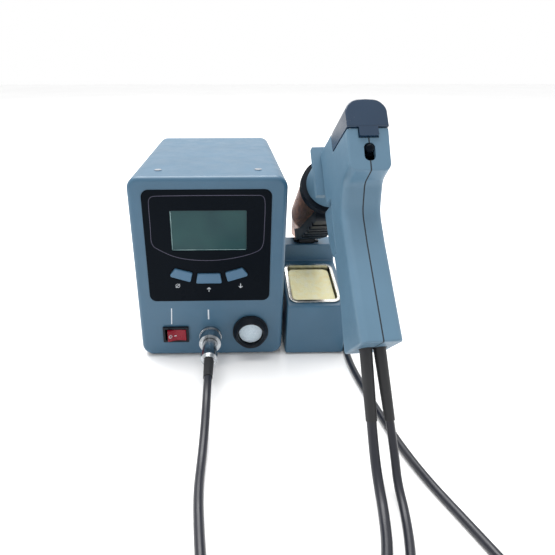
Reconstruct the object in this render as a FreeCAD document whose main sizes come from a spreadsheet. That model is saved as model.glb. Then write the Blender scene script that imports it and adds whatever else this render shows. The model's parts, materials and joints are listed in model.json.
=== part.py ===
"""Desoldering station: control unit, gun stand with sponge, and a pistol-grip vacuum gun.

Three frames are used while drawing. The station frame has x to the right from the
control unit's left side, y away from the user with the front face at y = 0, and z up
from the table. The gun frame has its origin at the nozzle's tip, x back along the
barrel, y to the user's right and z up. The finished part's origin is the bottom centre
of the object without its leads. All lengths are millimetres.
"""
import FreeCAD, Part
import math
import os
import Sketcher
from FreeCAD import Placement, Rotation, Vector

DIMENSIONS = {
    # control unit
    "station_width": 115, "station_depth": 180, "station_top": 150, "foot_height": 3, "skirt": 1.2,
    "wall": 2.5, "front_wall": 3, "case_corner": 9, "front_round": 3.5,
    "origin_shift_x": 84.918, "origin_shift_y": 39.761,
    # display panel on the front face
    "panel_left": 10, "panel_low": 52, "panel_width": 93.6, "panel_height": 89,
    "panel_corner": 5.5, "panel_thick": 2.4, "panel_inset": 1.6,
    "lcd_left": 29.5, "lcd_low": 94.4, "lcd_width": 56.1, "lcd_height": 31.3,
    "key_travel": 1, "key_height": 2.6, "key_gap": 0.35,
    # controls under the display
    "rocker_x": 28.5, "rocker_z": 22, "bezel_width": 20.6, "bezel_height": 13.6,
    "rocker_tilt": 9, "socket_x": 56.4, "socket_z": 20, "socket_radius": 9,
    "port_x": 89, "port_z": 24, "port_radius": 14.3, "port_reach": 8.5,
    # stand
    "stand_left": 118.5, "stand_width": 48.5, "stand_depth": 83, "stand_front_top": 46,
    "stand_ledge": 59, "stand_top": 75, "riser_y": 62, "slope_end_y": 56,
    "tray_width": 42.5, "tray_length": 52, "tray_deep": 12, "sheet_metal": 0.8,
    # gun
    "tip_x": 138.7, "tip_y": 109.2, "tip_z": 66.7, "gun_yaw": 5, "gun_tilt": 37.4,
    "gun_half": 12.5, "gun_wall": 2.2, "grip_round": 4.5, "cover_front": 172,
    "cover_back": 201.5, "cover_apex": 18.2, "collar_radius": 17.5, "collar_front": 121,
    "collar_back": 145.8, "glass_radius": 9, "barrel_radius": 8, "trigger_travel": 5,
    "trigger_half": 10.5, "latch_travel": 3, "latch_z": -11.4,
    # holder
    "rim_radius": 21.2, "horn_mouth": 20.4, "rim_back": 120.7, "rim_thick": 6, "horn_low_radius": 7.2,
    "horn_front": 12, "horn_knee": 62, "horn_knee_radius": 17, "post_x": 142, "post_y": 70, "post_width": 13,
    # leads
    "cable_radius": 2.9, "hose_radius": 2.5, "boot_length": 46, "boot_radius": 3.8,
    "lead_spacing": 4.1, "grip_end": 122, "lead_x": 165,
    "cable_coil_x": 100, "cable_coil_y": -217, "cable_coil_radius": 33,
    "hose_coil_x": 180, "hose_coil_y": -219, "hose_coil_radius": 27.5,
}

doc = FreeCAD.newDocument("desoldering_station")
sheet = doc.addObject("Spreadsheet::Sheet", "Dims")


class Size:
    """A length that carries its value and the sheet expression that gives it."""

    def __init__(self, value, text):
        self.value = value
        self.text = text

    def join(self, sign, other, result):
        return Size(result, "(%s %s %s)" % (self.text, sign, words(other)))

    def __add__(self, other):
        return self.join("+", other, self.value + number(other))

    def __sub__(self, other):
        return self.join("-", other, self.value - number(other))

    def __mul__(self, other):
        return self.join("*", other, self.value * number(other))

    def __truediv__(self, other):
        return self.join("/", other, self.value / number(other))


def number(size):
    return size.value if isinstance(size, Size) else size


def words(size):
    return size.text if isinstance(size, Size) else repr(size)


class Dims:
    """Every alias of the sheet as a Size."""


for row, (alias, amount) in enumerate(DIMENSIONS.items(), start=1):
    sheet.set("A%d" % row, alias)
    sheet.set("B%d" % row, str(amount))
    sheet.setAlias("B%d" % row, alias)
    setattr(Dims, alias, Size(float(amount), "Dims." + alias))
doc.recompute()
D = Dims

STATION = Placement(Vector(-number(D.origin_shift_x), -number(D.origin_shift_y), 0), Rotation())
GUN_IN_STATION = Placement(
    Vector(number(D.tip_x), number(D.tip_y), number(D.tip_z)),
    Rotation(-90 + number(D.gun_yaw), -number(D.gun_tilt), 0))
GUN = STATION.multiply(GUN_IN_STATION)

X_AXIS = Vector(1, 0, 0)
Y_AXIS = Vector(0, 1, 0)
Z_AXIS = Vector(0, 0, 1)
NODES = []


# ---------------------------------------------------------------- drawing helpers
def bind(obj, **sizes):
    for prop, size in sizes.items():
        setattr(obj, prop, number(size))
        if isinstance(size, Size):
            obj.setExpression(prop, size.text)


def point(x, y, z):
    return Vector(number(x), number(y), number(z))


def node(label, obj, frame=STATION):
    """Name a finished sub-part and seat it in its frame."""
    obj.Label = label
    obj.Placement = frame.multiply(obj.Placement)
    NODES.append(obj)
    return obj


def box(corner, length, width, height, turn=None):
    obj = doc.addObject("Part::Box", "block")
    bind(obj, Length=length, Width=width, Height=height)
    obj.Placement = Placement(point(*corner), turn or Rotation())
    return obj


def rod(start, axis, radius, length):
    obj = doc.addObject("Part::Cylinder", "rod")
    bind(obj, Radius=radius, Height=length)
    obj.Placement = Placement(point(*start), Rotation(Z_AXIS, axis))
    return obj


def taper(start, axis, radius, end_radius, length):
    obj = doc.addObject("Part::Cone", "taper")
    bind(obj, Radius1=radius, Radius2=end_radius, Height=length)
    obj.Placement = Placement(point(*start), Rotation(Z_AXIS, axis))
    return obj


def fuse(*parts):
    if len(parts) == 1:
        return parts[0]
    obj = doc.addObject("Part::MultiFuse", "joined")
    obj.Shapes = list(parts)
    return obj


def group(*parts):
    obj = doc.addObject("Part::Compound", "group")
    obj.Links = list(parts)
    return obj


def cut(base, *tools):
    obj = doc.addObject("Part::Cut", "trimmed")
    obj.Base = base
    obj.Tool = fuse(*tools)
    return obj


def tube(start, axis, radius, bore, length):
    return cut(rod(start, axis, radius, length), rod(start, axis, bore, length))


def feature(label, shape, frame=STATION):
    obj = doc.addObject("Part::Feature", label)
    obj.Shape = shape
    return node(label, obj, frame)


def new_body(label, frame=STATION):
    return node(label, doc.addObject("PartDesign::Body", label), frame)


def sketch_on(body, role, offset=0.0):
    """An empty sketch on one of the body's own origin planes."""
    plane = [item for item in body.Origin.OriginFeatures if item.Role == role][0]
    sketch = body.newObject("Sketcher::SketchObject", "outline")
    sketch.AttachmentSupport = [(plane, "")]
    sketch.MapMode = "FlatFace"
    sketch.AttachmentOffset = Placement(Vector(0, 0, number(offset)), Rotation())
    return sketch


def draw_rect(sketch, left, low, width, height, radius=0):
    """A rectangle, with round corners if a radius is given, bound to the sheet."""
    x0, y0 = number(left), number(low)
    x1, y1 = x0 + number(width), y0 + number(height)
    r = number(radius)
    corners = [(x1 - r, y0 + r, -90), (x1 - r, y1 - r, 0), (x0 + r, y1 - r, 90), (x0 + r, y0 + r, 180)]
    ends = [((x0 + r, y0), (x1 - r, y0)), ((x1, y0 + r), (x1, y1 - r)),
            ((x1 - r, y1), (x0 + r, y1)), ((x0, y1 - r), (x0, y0 + r))]
    sides = [sketch.addGeometry(Part.LineSegment(Vector(*a, 0), Vector(*b, 0))) for a, b in ends]
    if r:
        arcs = []
        for cx, cy, first in corners:
            circle = Part.Circle(Vector(cx, cy, 0), Z_AXIS, r)
            a0, a1 = math.radians(first), math.radians(first + 90)
            arcs.append(sketch.addGeometry(Part.ArcOfCircle(circle, a0, a1)))
        for i in range(4):
            sketch.addConstraint(Sketcher.Constraint("Tangent", sides[i], 2, arcs[i], 1))
            sketch.addConstraint(Sketcher.Constraint("Tangent", arcs[i], 2, sides[(i + 1) % 4], 1))
        for arc in arcs[1:]:
            sketch.addConstraint(Sketcher.Constraint("Equal", arcs[0], arc))
        limit(sketch, Sketcher.Constraint("Radius", arcs[0], r), radius)
    else:
        for i in range(4):
            sketch.addConstraint(Sketcher.Constraint("Coincident", sides[i], 2, sides[(i + 1) % 4], 1))
    for i, kind in enumerate(("Horizontal", "Vertical", "Horizontal", "Vertical")):
        sketch.addConstraint(Sketcher.Constraint(kind, sides[i]))
    limit(sketch, Sketcher.Constraint("DistanceX", sides[3], 1, sides[1], 1, x1 - x0), width)
    limit(sketch, Sketcher.Constraint("DistanceY", sides[0], 1, sides[2], 1, y1 - y0), height)
    limit(sketch, Sketcher.Constraint("DistanceX", -1, 1, sides[3], 1, x0), left)
    limit(sketch, Sketcher.Constraint("DistanceY", -1, 1, sides[0], 1, y0), low)


def limit(sketch, constraint, size):
    index = sketch.addConstraint(constraint)
    if isinstance(size, Size):
        sketch.setExpression("Constraints[%d]" % index, size.text)


def draw_circle(sketch, x, y, radius):
    circle = sketch.addGeometry(Part.Circle(point(x, y, 0), Z_AXIS, number(radius)))
    limit(sketch, Sketcher.Constraint("Radius", circle, number(radius)), radius)
    limit(sketch, Sketcher.Constraint("DistanceX", -1, 1, circle, 3, number(x)), x)
    limit(sketch, Sketcher.Constraint("DistanceY", -1, 1, circle, 3, number(y)), y)


def rounded_loop(corners):
    """Lines and tangent arcs through corners given as (x, y, corner radius)."""
    pieces = []
    stops = []
    count = len(corners)
    for i, (x, y, radius) in enumerate(corners):
        here = point(x, y, 0)
        to_last = (point(*corners[i - 1][:2], 0) - here).normalize()
        to_next = (point(*corners[(i + 1) % count][:2], 0) - here).normalize()
        radius = number(radius)
        if not radius:
            stops.append((here, here, here))
            continue
        half = to_last.getAngle(to_next) / 2
        reach = radius / math.tan(half)
        middle = (to_last + to_next).normalize()
        crown = here + middle * (radius / math.sin(half) - radius)
        stops.append((here + to_last * reach, crown, here + to_next * reach))
    for i in range(count):
        first, crown, last = stops[i]
        if first != last:
            pieces.append(Part.Arc(first, crown, last))
        pieces.append(Part.LineSegment(last, stops[(i + 1) % count][0]))
    return pieces


def draw_loop(sketch, corners):
    for piece in rounded_loop(corners):
        sketch.addGeometry(piece)


def pad(body, sketch, length, back=False):
    obj = body.newObject("PartDesign::Pad", "pad")
    obj.Profile = sketch
    bind(obj, Length=length)
    obj.Reversed = back
    doc.recompute()
    return obj


def pocket(body, sketch, depth, back=False):
    before = body.Tip.Shape.Volume
    obj = body.newObject("PartDesign::Pocket", "pocket")
    obj.Profile = sketch
    bind(obj, Length=depth)
    obj.Reversed = back
    doc.recompute()
    if not obj.Shape.Volume < before - 0.01:
        raise RuntimeError("a pocket of %s cuts nothing" % body.Label)
    return obj


def round_edges(body, radius, wanted, kind="PartDesign::Fillet"):
    """Fillet or chamfer the edges of the body's tip that the test picks."""
    base = body.Tip
    names = ["Edge%d" % (i + 1) for i, edge in enumerate(base.Shape.Edges) if wanted(edge)]
    obj = body.newObject(kind, "edges")
    obj.Base = (base, names)
    bind(obj, **{"Radius" if kind.endswith("Fillet") else "Size": radius})
    doc.recompute()
    return obj


def lies_on(edge, axis, level, slack=0.01):
    """True if both ends and the middle of the edge have this coordinate."""
    spots = [edge.valueAt(edge.FirstParameter + part * (edge.LastParameter - edge.FirstParameter))
             for part in (0, 0.5, 1)]
    return all(abs(spot[axis] - number(level)) < slack for spot in spots)


# ---------------------------------------------------------------- control unit
def build_station_cover():
    """One moulding: front face, top and both sides, open below and behind."""
    body = new_body("station_cover")
    sketch = sketch_on(body, "XZ_Plane")
    draw_rect(sketch, 0, D.skirt, D.station_width, D.station_top - D.skirt, D.case_corner)
    pad(body, sketch, D.station_depth, back=True)
    round_edges(body, D.front_round, lambda edge: lies_on(edge, 1, 0))
    sketch = sketch_on(body, "XZ_Plane", D.front_wall * -1)
    inner_width = D.station_width - D.wall * 2
    draw_rect(sketch, D.wall, D.skirt - 1, inner_width, D.station_top - D.skirt - D.wall + 1,
              D.case_corner - D.wall)
    pocket(body, sketch, D.station_depth)
    sketch = sketch_on(body, "XZ_Plane")
    draw_rect(sketch, D.panel_left, D.panel_low, D.panel_width, D.panel_height, D.panel_corner)
    pocket(body, sketch, D.panel_inset)
    sketch = sketch_on(body, "XZ_Plane")
    draw_rect(sketch, 22, 62, 70, 69, 4)
    pocket(body, sketch, 10)
    sketch = sketch_on(body, "XZ_Plane")
    draw_rect(sketch, D.rocker_x - 9.3, D.rocker_z - 6.1, 18.6, 12.2)
    pocket(body, sketch, 10)
    sketch = sketch_on(body, "XZ_Plane")
    draw_circle(sketch, D.socket_x, D.socket_z, 7.6)
    pocket(body, sketch, 10)
    sketch = sketch_on(body, "XZ_Plane")
    draw_circle(sketch, D.port_x, D.port_z, 12.1)
    pocket(body, sketch, 10)
    sketch = sketch_on(body, "XY_Plane", D.station_top - 5)
    for x in SCREW_X:
        draw_circle(sketch, x, SCREW_Y, 1.6)
    pocket(body, sketch, 10, back=True)


SCREW_X = (20.5, 94.5)
SCREW_Y = 21.5


def build_chassis():
    """Base plate, rear panel with vents and sockets, screws and feet."""
    inner = D.wall + 0.2
    width = D.station_width - inner * 2
    body = new_body("base_plate")
    sketch = sketch_on(body, "XY_Plane", D.foot_height)
    draw_rect(sketch, inner, D.front_wall + 0.3, width, D.station_depth - D.front_wall - 3.5)
    pad(body, sketch, 2)
    sketch = sketch_on(body, "XY_Plane", D.foot_height)
    for i in range(7):
        draw_rect(sketch, 33 + 8 * i, 60, 3, 40)
    pocket(body, sketch, 3, back=True)

    body = new_body("rear_panel")
    sketch = sketch_on(body, "XZ_Plane", D.station_depth * -1 + 3)
    low = D.foot_height + 2.2
    draw_rect(sketch, inner, low, width, D.station_top - D.wall - 0.2 - low, 6)
    pad(body, sketch, 2, back=True)
    openings = [(INLET_X - 13.7, INLET_Z - 9.7, 27.4, 19.4, 1.5)]
    openings += [(30, 78 + 7 * i, 55, 3, 1.4) for i in range(7)]
    for left, low, wide, high, corner in openings:
        sketch = sketch_on(body, "XZ_Plane", D.station_depth * -1 + 3)
        draw_rect(sketch, left, low, wide, high, corner)
        pocket(body, sketch, 4)
    sketch = sketch_on(body, "XZ_Plane", D.station_depth * -1 + 3)
    draw_circle(sketch, FITTING_X, FITTING_Z, 4.1)
    pocket(body, sketch, 4)

    heads = []
    for x in SCREW_X:
        top = number(D.station_top)
        heads.append(fuse(rod((x, SCREW_Y, top - 0.4), Z_AXIS, 2.6, 1), rod((x, SCREW_Y, top - 9), Z_AXIS, 1.5, 9)))
    px, py = number(D.post_x), number(D.post_y)
    heads += [rod((px + side * 8.8, py + 1, D.stand_top + 1.2), Z_AXIS, 1.8, 0.9) for side in (-1, 1)]
    node("case_screws", group(*heads))
    spots = [(x, y) for x in (13, 102) for y in (16, 164)]
    feet = [taper((x, y, 0), Z_AXIS, 5.2, 6, D.foot_height) for x, y in spots]
    spots = [(x, y) for x in (126, 158) for y in (8, 74)]
    feet += [taper((x, y, 0), Z_AXIS, 4, 4.6, D.foot_height) for x, y in spots]
    node("rubber_feet", group(*feet))


INLET_X = 32
INLET_Z = 32
FITTING_X = 92
FITTING_Z = 30


def build_display():
    """Black panel, window, display module, board and the three keys."""
    body = new_body("display_panel")
    sketch = sketch_on(body, "XZ_Plane", D.panel_thick - D.panel_inset)
    gap = 0.15
    draw_rect(sketch, D.panel_left + gap, D.panel_low + gap, D.panel_width - gap * 2,
              D.panel_height - gap * 2, D.panel_corner - gap)
    pad(body, sketch, D.panel_thick, back=True)
    round_edges(body, 0.6, lambda edge: lies_on(edge, 1, D.panel_inset - D.panel_thick))
    sketch = sketch_on(body, "XZ_Plane", 2)
    draw_rect(sketch, D.lcd_left, D.lcd_low, D.lcd_width, D.lcd_height, 1.2)
    pocket(body, sketch, 8)
    for corners in KEYS.values():
        sketch = sketch_on(body, "XZ_Plane", 2)
        draw_loop(sketch, spread(corners, number(D.key_gap)))
        pocket(body, sketch, 8)

    window = box((D.lcd_left + 0.1, 0.4, D.lcd_low + 0.1), D.lcd_width - 0.2, 1, D.lcd_height - 0.2)
    node("lcd_window", window)
    module = box((D.lcd_left - 2.5, D.front_wall - 1.3, D.lcd_low - 2.5), D.lcd_width + 5, 7, D.lcd_height + 5)
    node("lcd_module", module)
    board = box((16, 12, 58), 84, 1.6, 74)
    pins = [rod((x, 8.7, z), Y_AXIS, 2, 3.3) for x in (28, 88) for z in (90, 129)]
    switches = [fuse(board, *pins)]
    for corners in KEYS.values():
        x = sum(corner[0] for corner in corners) / len(corners)
        z = sum(corner[1] for corner in corners) / len(corners)
        switches.append(fuse(box((x - 3, 8, z - 3), 6, 4, 6), rod((x, 7, z), Y_AXIS, 1.7, 1)))
    node("control_board", group(*switches))
    for name, corners in KEYS.items():
        build_key(name, corners)


KEYS = {
    "button_unit": [(27.8, 73.9, 1.1), (42.5, 69.3, 1.1), (44.4, 76.9, 1.1), (31.3, 80.6, 1.1), (27.2, 75.6, 1.1)],
    "button_up": [(46.7, 68.1, 1.1), (66.7, 68.1, 1.1), (65.3, 76.2, 1.1), (48.1, 76.2, 1.1)],
}
KEYS["button_down"] = [(113.6 - x, z, r) for x, z, r in reversed(KEYS["button_unit"])]


def spread(corners, gap):
    """Move a loop's corners away from its middle, so that the loop clears by about a gap."""
    cx = sum(corner[0] for corner in corners) / len(corners)
    cy = sum(corner[1] for corner in corners) / len(corners)
    moved = []
    for x, y, radius in corners:
        reach = math.hypot(x - cx, y - cy)
        moved.append((x + (x - cx) * gap * 1.25 / reach, y + (y - cy) * gap * 1.25 / reach, radius + gap))
    return moved


def build_key(name, corners):
    """A key cap that stands proud of the panel, with a stem to its switch."""
    body = new_body(name)
    front = number(D.key_height)
    sketch = sketch_on(body, "XZ_Plane", front)
    draw_loop(sketch, corners)
    pad(body, sketch, front + 2.2, back=True)
    round_edges(body, 0.7, lambda edge: lies_on(edge, 1, -front))
    x = sum(corner[0] for corner in corners) / len(corners)
    z = sum(corner[1] for corner in corners) / len(corners)
    sketch = sketch_on(body, "XZ_Plane", -2.2)
    draw_circle(sketch, x, z, 2.2)
    pad(body, sketch, 3.6, back=True)


def build_rocker():
    """Mains rocker: bezel with its body, and the paddle on its own upright pin."""
    x, z = number(D.rocker_x), number(D.rocker_z)
    flange = box((D.rocker_x - D.bezel_width / 2, -2.2, D.rocker_z - D.bezel_height / 2), D.bezel_width, 2.2,
                 D.bezel_height)
    rear = box((x - 9.1, 0, z - 5.9), 18.2, 14, 11.8)
    room = box((x - 8.6, -5, z - 5.1), 17.2, 16.5, 10.2)
    lugs = [box((x + shift, 13, z - 2), 0.8, 6, 4) for shift in (-3.4, 2.6)]
    node("rocker_bezel", fuse(cut(fuse(flange, rear), room), *lugs))
    paddle = new_body("rocker", STATION.multiply(Placement(
        Vector(x, 3.2, z), Rotation(Z_AXIS, number(D.rocker_tilt)))))
    sketch = sketch_on(paddle, "XY_Plane", -4.8)
    draw_loop(sketch, [
        (-7.5, -7.2, 0.6), (0, -5.3, 12), (7.5, -7.2, 0.6), (7.1, -2.8, 1), (0, 3, 3), (-7.1, -2.8, 1)])
    pad(paddle, sketch, 9.6)
    sketch = sketch_on(paddle, "XY_Plane", -5.05)
    draw_circle(sketch, 0, 0, 1)
    pad(paddle, sketch, 10.1)


def build_connector():
    """Round aviation socket on the front face and the gun lead's plug in it."""
    x, z = number(D.socket_x), number(D.socket_z)
    flange = rod((x, 0, z), Y_AXIS * -1, D.socket_radius, 2.6)
    nose = rod((x, -2.6, z), Y_AXIS * -1, 7, 2.4)
    barrel = rod((x, 0, z), Y_AXIS, 7.4, 13)
    nut = cut(rod((x, D.front_wall, z), Y_AXIS, 10, 2.4), rod((x, D.front_wall, z), Y_AXIS, 7.4, 2.4))
    node("connector_socket", fuse(flange, nose, barrel))
    node("socket_nut", nut)
    ring = rod((x, -2.9, z), Y_AXIS * -1, 8.6, 10)
    grooves = []
    for i in range(24):
        turn = math.radians(15 * i)
        grooves.append(rod((x + 8.9 * math.cos(turn), -3.6, z + 8.9 * math.sin(turn)), Y_AXIS * -1, 0.55, 8.4))
    bore = rod((x, -2.9, z), Y_AXIS * -1, 7.3, 6.6)
    neck = rod((x, -9, z), Y_AXIS * -1, 6.05, 5)
    node("plug_ring", cut(ring, bore, neck, *grooves))
    shell = fuse(rod((x, -5.2, z), Y_AXIS * -1, 5.6, 23.3), rod((x, -5.2, z), Y_AXIS * -1, 6.9, 3.9))
    cap = fuse(rod((x, -28, z), Y_AXIS * -1, 6.4, 6), taper((x, -34, z), Y_AXIS * -1, 6.4, 4.8, 2.6))
    node("plug_body", fuse(shell, cap))
    node("plug_boot", taper((x, -36.6, z), Y_AXIS * -1, 3.8, 3.3, 19.4))


def build_vacuum_port():
    """Filter housing through the front face, with a bayonet cap around a felt disc."""
    x, z = number(D.port_x), number(D.port_z)
    sleeve = rod((x, -0.4, z), Y_AXIS, 11.9, 26)
    room = rod((x, -1, z), Y_AXIS, 10.2, 22)
    outlet = tube((x, 25.6, z), Y_AXIS, 2.6, 1.2, 8)
    hole = rod((x, 20, z), Y_AXIS, 1.2, 10)
    node("vacuum_port", fuse(cut(sleeve, room, hole), outlet))
    reach = number(D.port_reach)
    flange = rod((x, -0.7, z), Y_AXIS * -1, D.port_radius, 2)
    hood = taper((x, -2.7, z), Y_AXIS * -1, 13.6, 11.6, reach - 2.7)
    bore = rod((x, 0, z), Y_AXIS * -1, 10, reach + 1)
    mouth = taper((x, -reach, z), Y_AXIS, 10.6, 10, 1)
    node("vacuum_cap", cut(fuse(flange, hood), bore, mouth))
    node("filter_disc", rod((x, -3.8, z), Y_AXIS, 9.7, 6))


def build_inside():
    """Transformer, diaphragm pump with its motor, and the hose between port and pump."""
    core = box((12, 110, 5), 46, 36, 40)
    windows = [box((20, 109, 12), 10, 38, 26), box((40, 109, 12), 10, 38, 26)]
    node("transformer_core", cut(core, *windows))
    coil = box((20.3, 103, 12.3), 29.4, 50, 25.4)
    node("transformer_coil", cut(coil, box((29.9, 109.8, 10), 10.2, 36.4, 30)))
    head = box((72, 96, 5), 30, 34, 38)
    room = rod((87, 130.1, 24), Y_AXIS * -1, 9.5, 12)
    shaft_hole = rod((87, 131, 24), Y_AXIS * -1, 9.5, 3)
    ports = [rod((80 + 14 * i, 96, 36), Y_AXIS * -1, 2.4, 7) for i in range(2)]
    node("pump_head", fuse(cut(head, room, shaft_hole), *ports))
    motor = fuse(rod((87, 130.1, 24), Y_AXIS, 14, 34), rod((87, 130.1, 24), Y_AXIS * -1, 1.5, 9))
    node("pump_motor", motor)
    bore = rod((87, 119, 24), Y_AXIS, 1.55, 9)
    node("pump_eccentric", cut(rod((87, 120, 22.5), Y_AXIS, 5.5, 7), bore))


def build_rear_fittings():
    """Mains inlet with its three pins, and the barbed fitting of the gun's hose."""
    depth = number(D.station_depth)
    flange = box((INLET_X - 17, depth - 1, INLET_Z - 12), 34, 2.4, 24)
    shroud = box((INLET_X - 13.5, depth - 20, INLET_Z - 9.5), 27, 20, 19)
    room = box((INLET_X - 12, depth - 17, INLET_Z - 8), 24, 20, 16)
    node("mains_inlet", cut(fuse(flange, shroud), room))
    pins = []
    for dx, dz in ((-7, -2), (7, -2), (0, 2)):
        pins.append(box((INLET_X + dx - 1, depth - 26, INLET_Z + dz - 2), 2, 21, 4))
    node("inlet_pins", group(*pins))
    base = rod((FITTING_X, depth - 8, FITTING_Z), Y_AXIS, 4, 9)
    collar = rod((FITTING_X, depth - 1, FITTING_Z), Y_AXIS, 6.5, 2.5)
    barb = rod((FITTING_X, depth + 1, FITTING_Z), Y_AXIS, 1.7, 3)
    sleeve = rod((FITTING_X, depth + 1.5, FITTING_Z), Y_AXIS, 3.4, 6.5)
    node("hose_fitting", fuse(base, collar, barb, sleeve))


# ---------------------------------------------------------------- stand
def slope_angle():
    rise = number(D.stand_ledge) - 1 - number(D.stand_front_top)
    return math.degrees(math.atan2(rise, number(D.slope_end_y) - 2))


def build_stand():
    """Stand base with the sloping sponge bed, the weight plate, tray and sponge."""
    body = new_body("stand_base")
    left = D.stand_left
    profile = [
        (0, D.skirt, 1.5), (0, D.stand_front_top, 2), (2, D.stand_front_top + 0.3, 0),
        (D.slope_end_y, D.stand_ledge - 1, 0), (D.riser_y, D.stand_ledge, 1.5),
        (D.riser_y, D.stand_top, 1.5), (D.stand_depth, D.stand_top, 3), (D.stand_depth, D.skirt, 1.5)]
    sketch = sketch_on(body, "YZ_Plane", left)
    draw_loop(sketch, profile)
    pad(body, sketch, D.stand_width)
    right = number(left) + number(D.stand_width)
    round_edges(body, 1.6, lambda edge: lies_on(edge, 0, left) or lies_on(edge, 0, right))
    hollow = [
        (2.5, 0, 0), (2.5, D.stand_front_top - 2.8, 1), (D.slope_end_y, D.stand_ledge - 3.6, 0),
        (D.riser_y + 2.5, D.stand_ledge - 3, 1), (D.riser_y + 2.5, D.stand_top - 2.5, 1),
        (D.stand_depth - 2.5, D.stand_top - 2.5, 1), (D.stand_depth - 2.5, 0, 0)]
    sketch = sketch_on(body, "YZ_Plane", left + 2.5)
    draw_loop(sketch, hollow)
    pocket(body, sketch, D.stand_width - 5, back=True)
    sketch = sketch_on(body, "XY_Plane", D.stand_front_top - 8)
    draw_rect(sketch, TRAY_X - 20.2, TRAY_Y - 24.2, 40.4, 49.1, 5)
    pocket(body, sketch, 30, back=True)

    plate = box((number(left) + 2.8, 2.8, number(D.foot_height)), D.stand_width - 5.6, D.stand_depth - 5.6, 4)
    node("stand_weight", plate)

    seat = STATION.multiply(Placement(
        Vector(TRAY_X, TRAY_Y, TRAY_Z), Rotation(X_AXIS, slope_angle())))
    build_tray(seat)
    body = new_body("sponge", seat)
    sketch = sketch_on(body, "XY_Plane", number(D.tray_deep) * -1 + 1.1)
    draw_rect(sketch, -18.2, -22.6, 36.4, 45.2, 5)
    pad(body, sketch, 9.2)
    round_edges(body, 1.2, lambda edge: lies_on(edge, 2, -1.7))


TRAY_X = 141.7
TRAY_Y = 29.2
TRAY_Z = 52.7


def build_tray(seat):
    """Pressed sheet-metal tray with a rolled rim."""
    body = new_body("sponge_tray", seat)
    deep, thick = D.tray_deep, D.sheet_metal
    sketch = sketch_on(body, "XY_Plane", deep * -1)
    draw_rect(sketch, D.tray_width / -2 + 1.8, D.tray_length / -2 + 1.8, D.tray_width - 3.6, D.tray_length - 3.6, 5.2)
    pad(body, sketch, deep)
    sketch = sketch_on(body, "XY_Plane", 0)
    draw_rect(sketch, D.tray_width / -2, D.tray_length / -2, D.tray_width, D.tray_length, 7)
    pad(body, sketch, thick + 0.3)
    round_edges(body, 0.5, lambda edge: lies_on(edge, 2, thick + 0.3))
    sketch = sketch_on(body, "XY_Plane", deep * -1 + thick)
    draw_rect(sketch, D.tray_width / -2 + 2.6, D.tray_length / -2 + 2.6, D.tray_width - 5.2, D.tray_length - 5.2, 4.4)
    pocket(body, sketch, deep + 2, back=True)


def horn_solid(inset=0):
    """The horn's outer shape in the gun frame, or that shape made smaller by an inset."""
    front, knee = number(D.horn_front), number(D.horn_knee)
    back = number(D.rim_back) - number(D.rim_thick) + 2
    low, middle, top = (number(size) - inset for size in (D.horn_low_radius, D.horn_knee_radius, D.horn_mouth))
    lower = taper((front, 0, 0), X_AXIS, low, middle, knee - front)
    return fuse(lower, taper((knee, 0, 0), X_AXIS, middle, top, back - knee))


def build_holder():
    """Rim ring and metal horn that take the gun's nose, on a ribbed black cradle and post."""
    rim = tube((D.rim_back - D.rim_thick, 0, 0), X_AXIS, D.rim_radius, 15.5, D.rim_thick)
    node("holder_ring", cut(rim, horn_solid()), GUN)
    node("holder_horn", cut(horn_solid(), horn_solid(1.3)), GUN)

    ramp = doc.addObject("PartDesign::Body", "cradle_block")
    sketch = sketch_on(ramp, "XZ_Plane", -11)
    draw_loop(sketch, [(114.5, -8, 0), (114.5, -24.5, 3), (98, -25.5, 8), (64, -22.5, 3), (42, -17.5, 2), (42, -5, 0)])
    pad(ramp, sketch, 22)
    grooves = [box((66 + 9 * i, -20, -30), 3.2, 40, 8.2 - 0.25 * i) for i in range(5)]
    cradle = cut(ramp, horn_solid(), *grooves)
    cradle.Placement = GUN_IN_STATION
    half = number(D.post_width) / 2
    px, py = number(D.post_x), number(D.post_y)
    post = box((px - half, py - 4.5, D.stand_top), D.post_width, 9, 22)
    void = horn_solid()
    void.Placement = GUN_IN_STATION
    foot = box((px - 11, py - 2.5, D.stand_top), 22, 7, 1.2)
    node("holder_bracket", fuse(cradle, cut(post, void), foot))


# ---------------------------------------------------------------- gun
GRIP_OUTLINE = [
    (146, 12.5, 2), (171.7, 12.5, 1), (171.7, 0.3, 0.4), (200.3, 0.3, 0.6), (197.2, -24.5, 0),
    (185.5, -27, 7), (176.4, -42, 16), (177.3, -62, 40), (183, -120, 0), (148.5, -124.6, 2),
    (152.4, -90, 60), (150.6, -61, 1), (156.5, -61, 0.8), (156.5, -25.5, 0.8), (146, -25.5, 2)]
GRIP_ROOM = [
    (148.4, 10.3, 1), (197.8, 10.3, 1), (195.1, -22.3, 1), (183.9, -25, 6), (174.1, -42, 14),
    (175.1, -62, 36), (180.6, -117.9, 1), (151, -122, 1), (155, -90, 50), (153.4, -63.3, 1),
    (158.8, -63.3, 1), (158.8, -23.2, 1), (148.4, -23.2, 1)]


def is_grip_back(edge):
    middle = edge.CenterOfMass
    return middle.x > 165 and -119.9 < middle.z < -24.6


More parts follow.
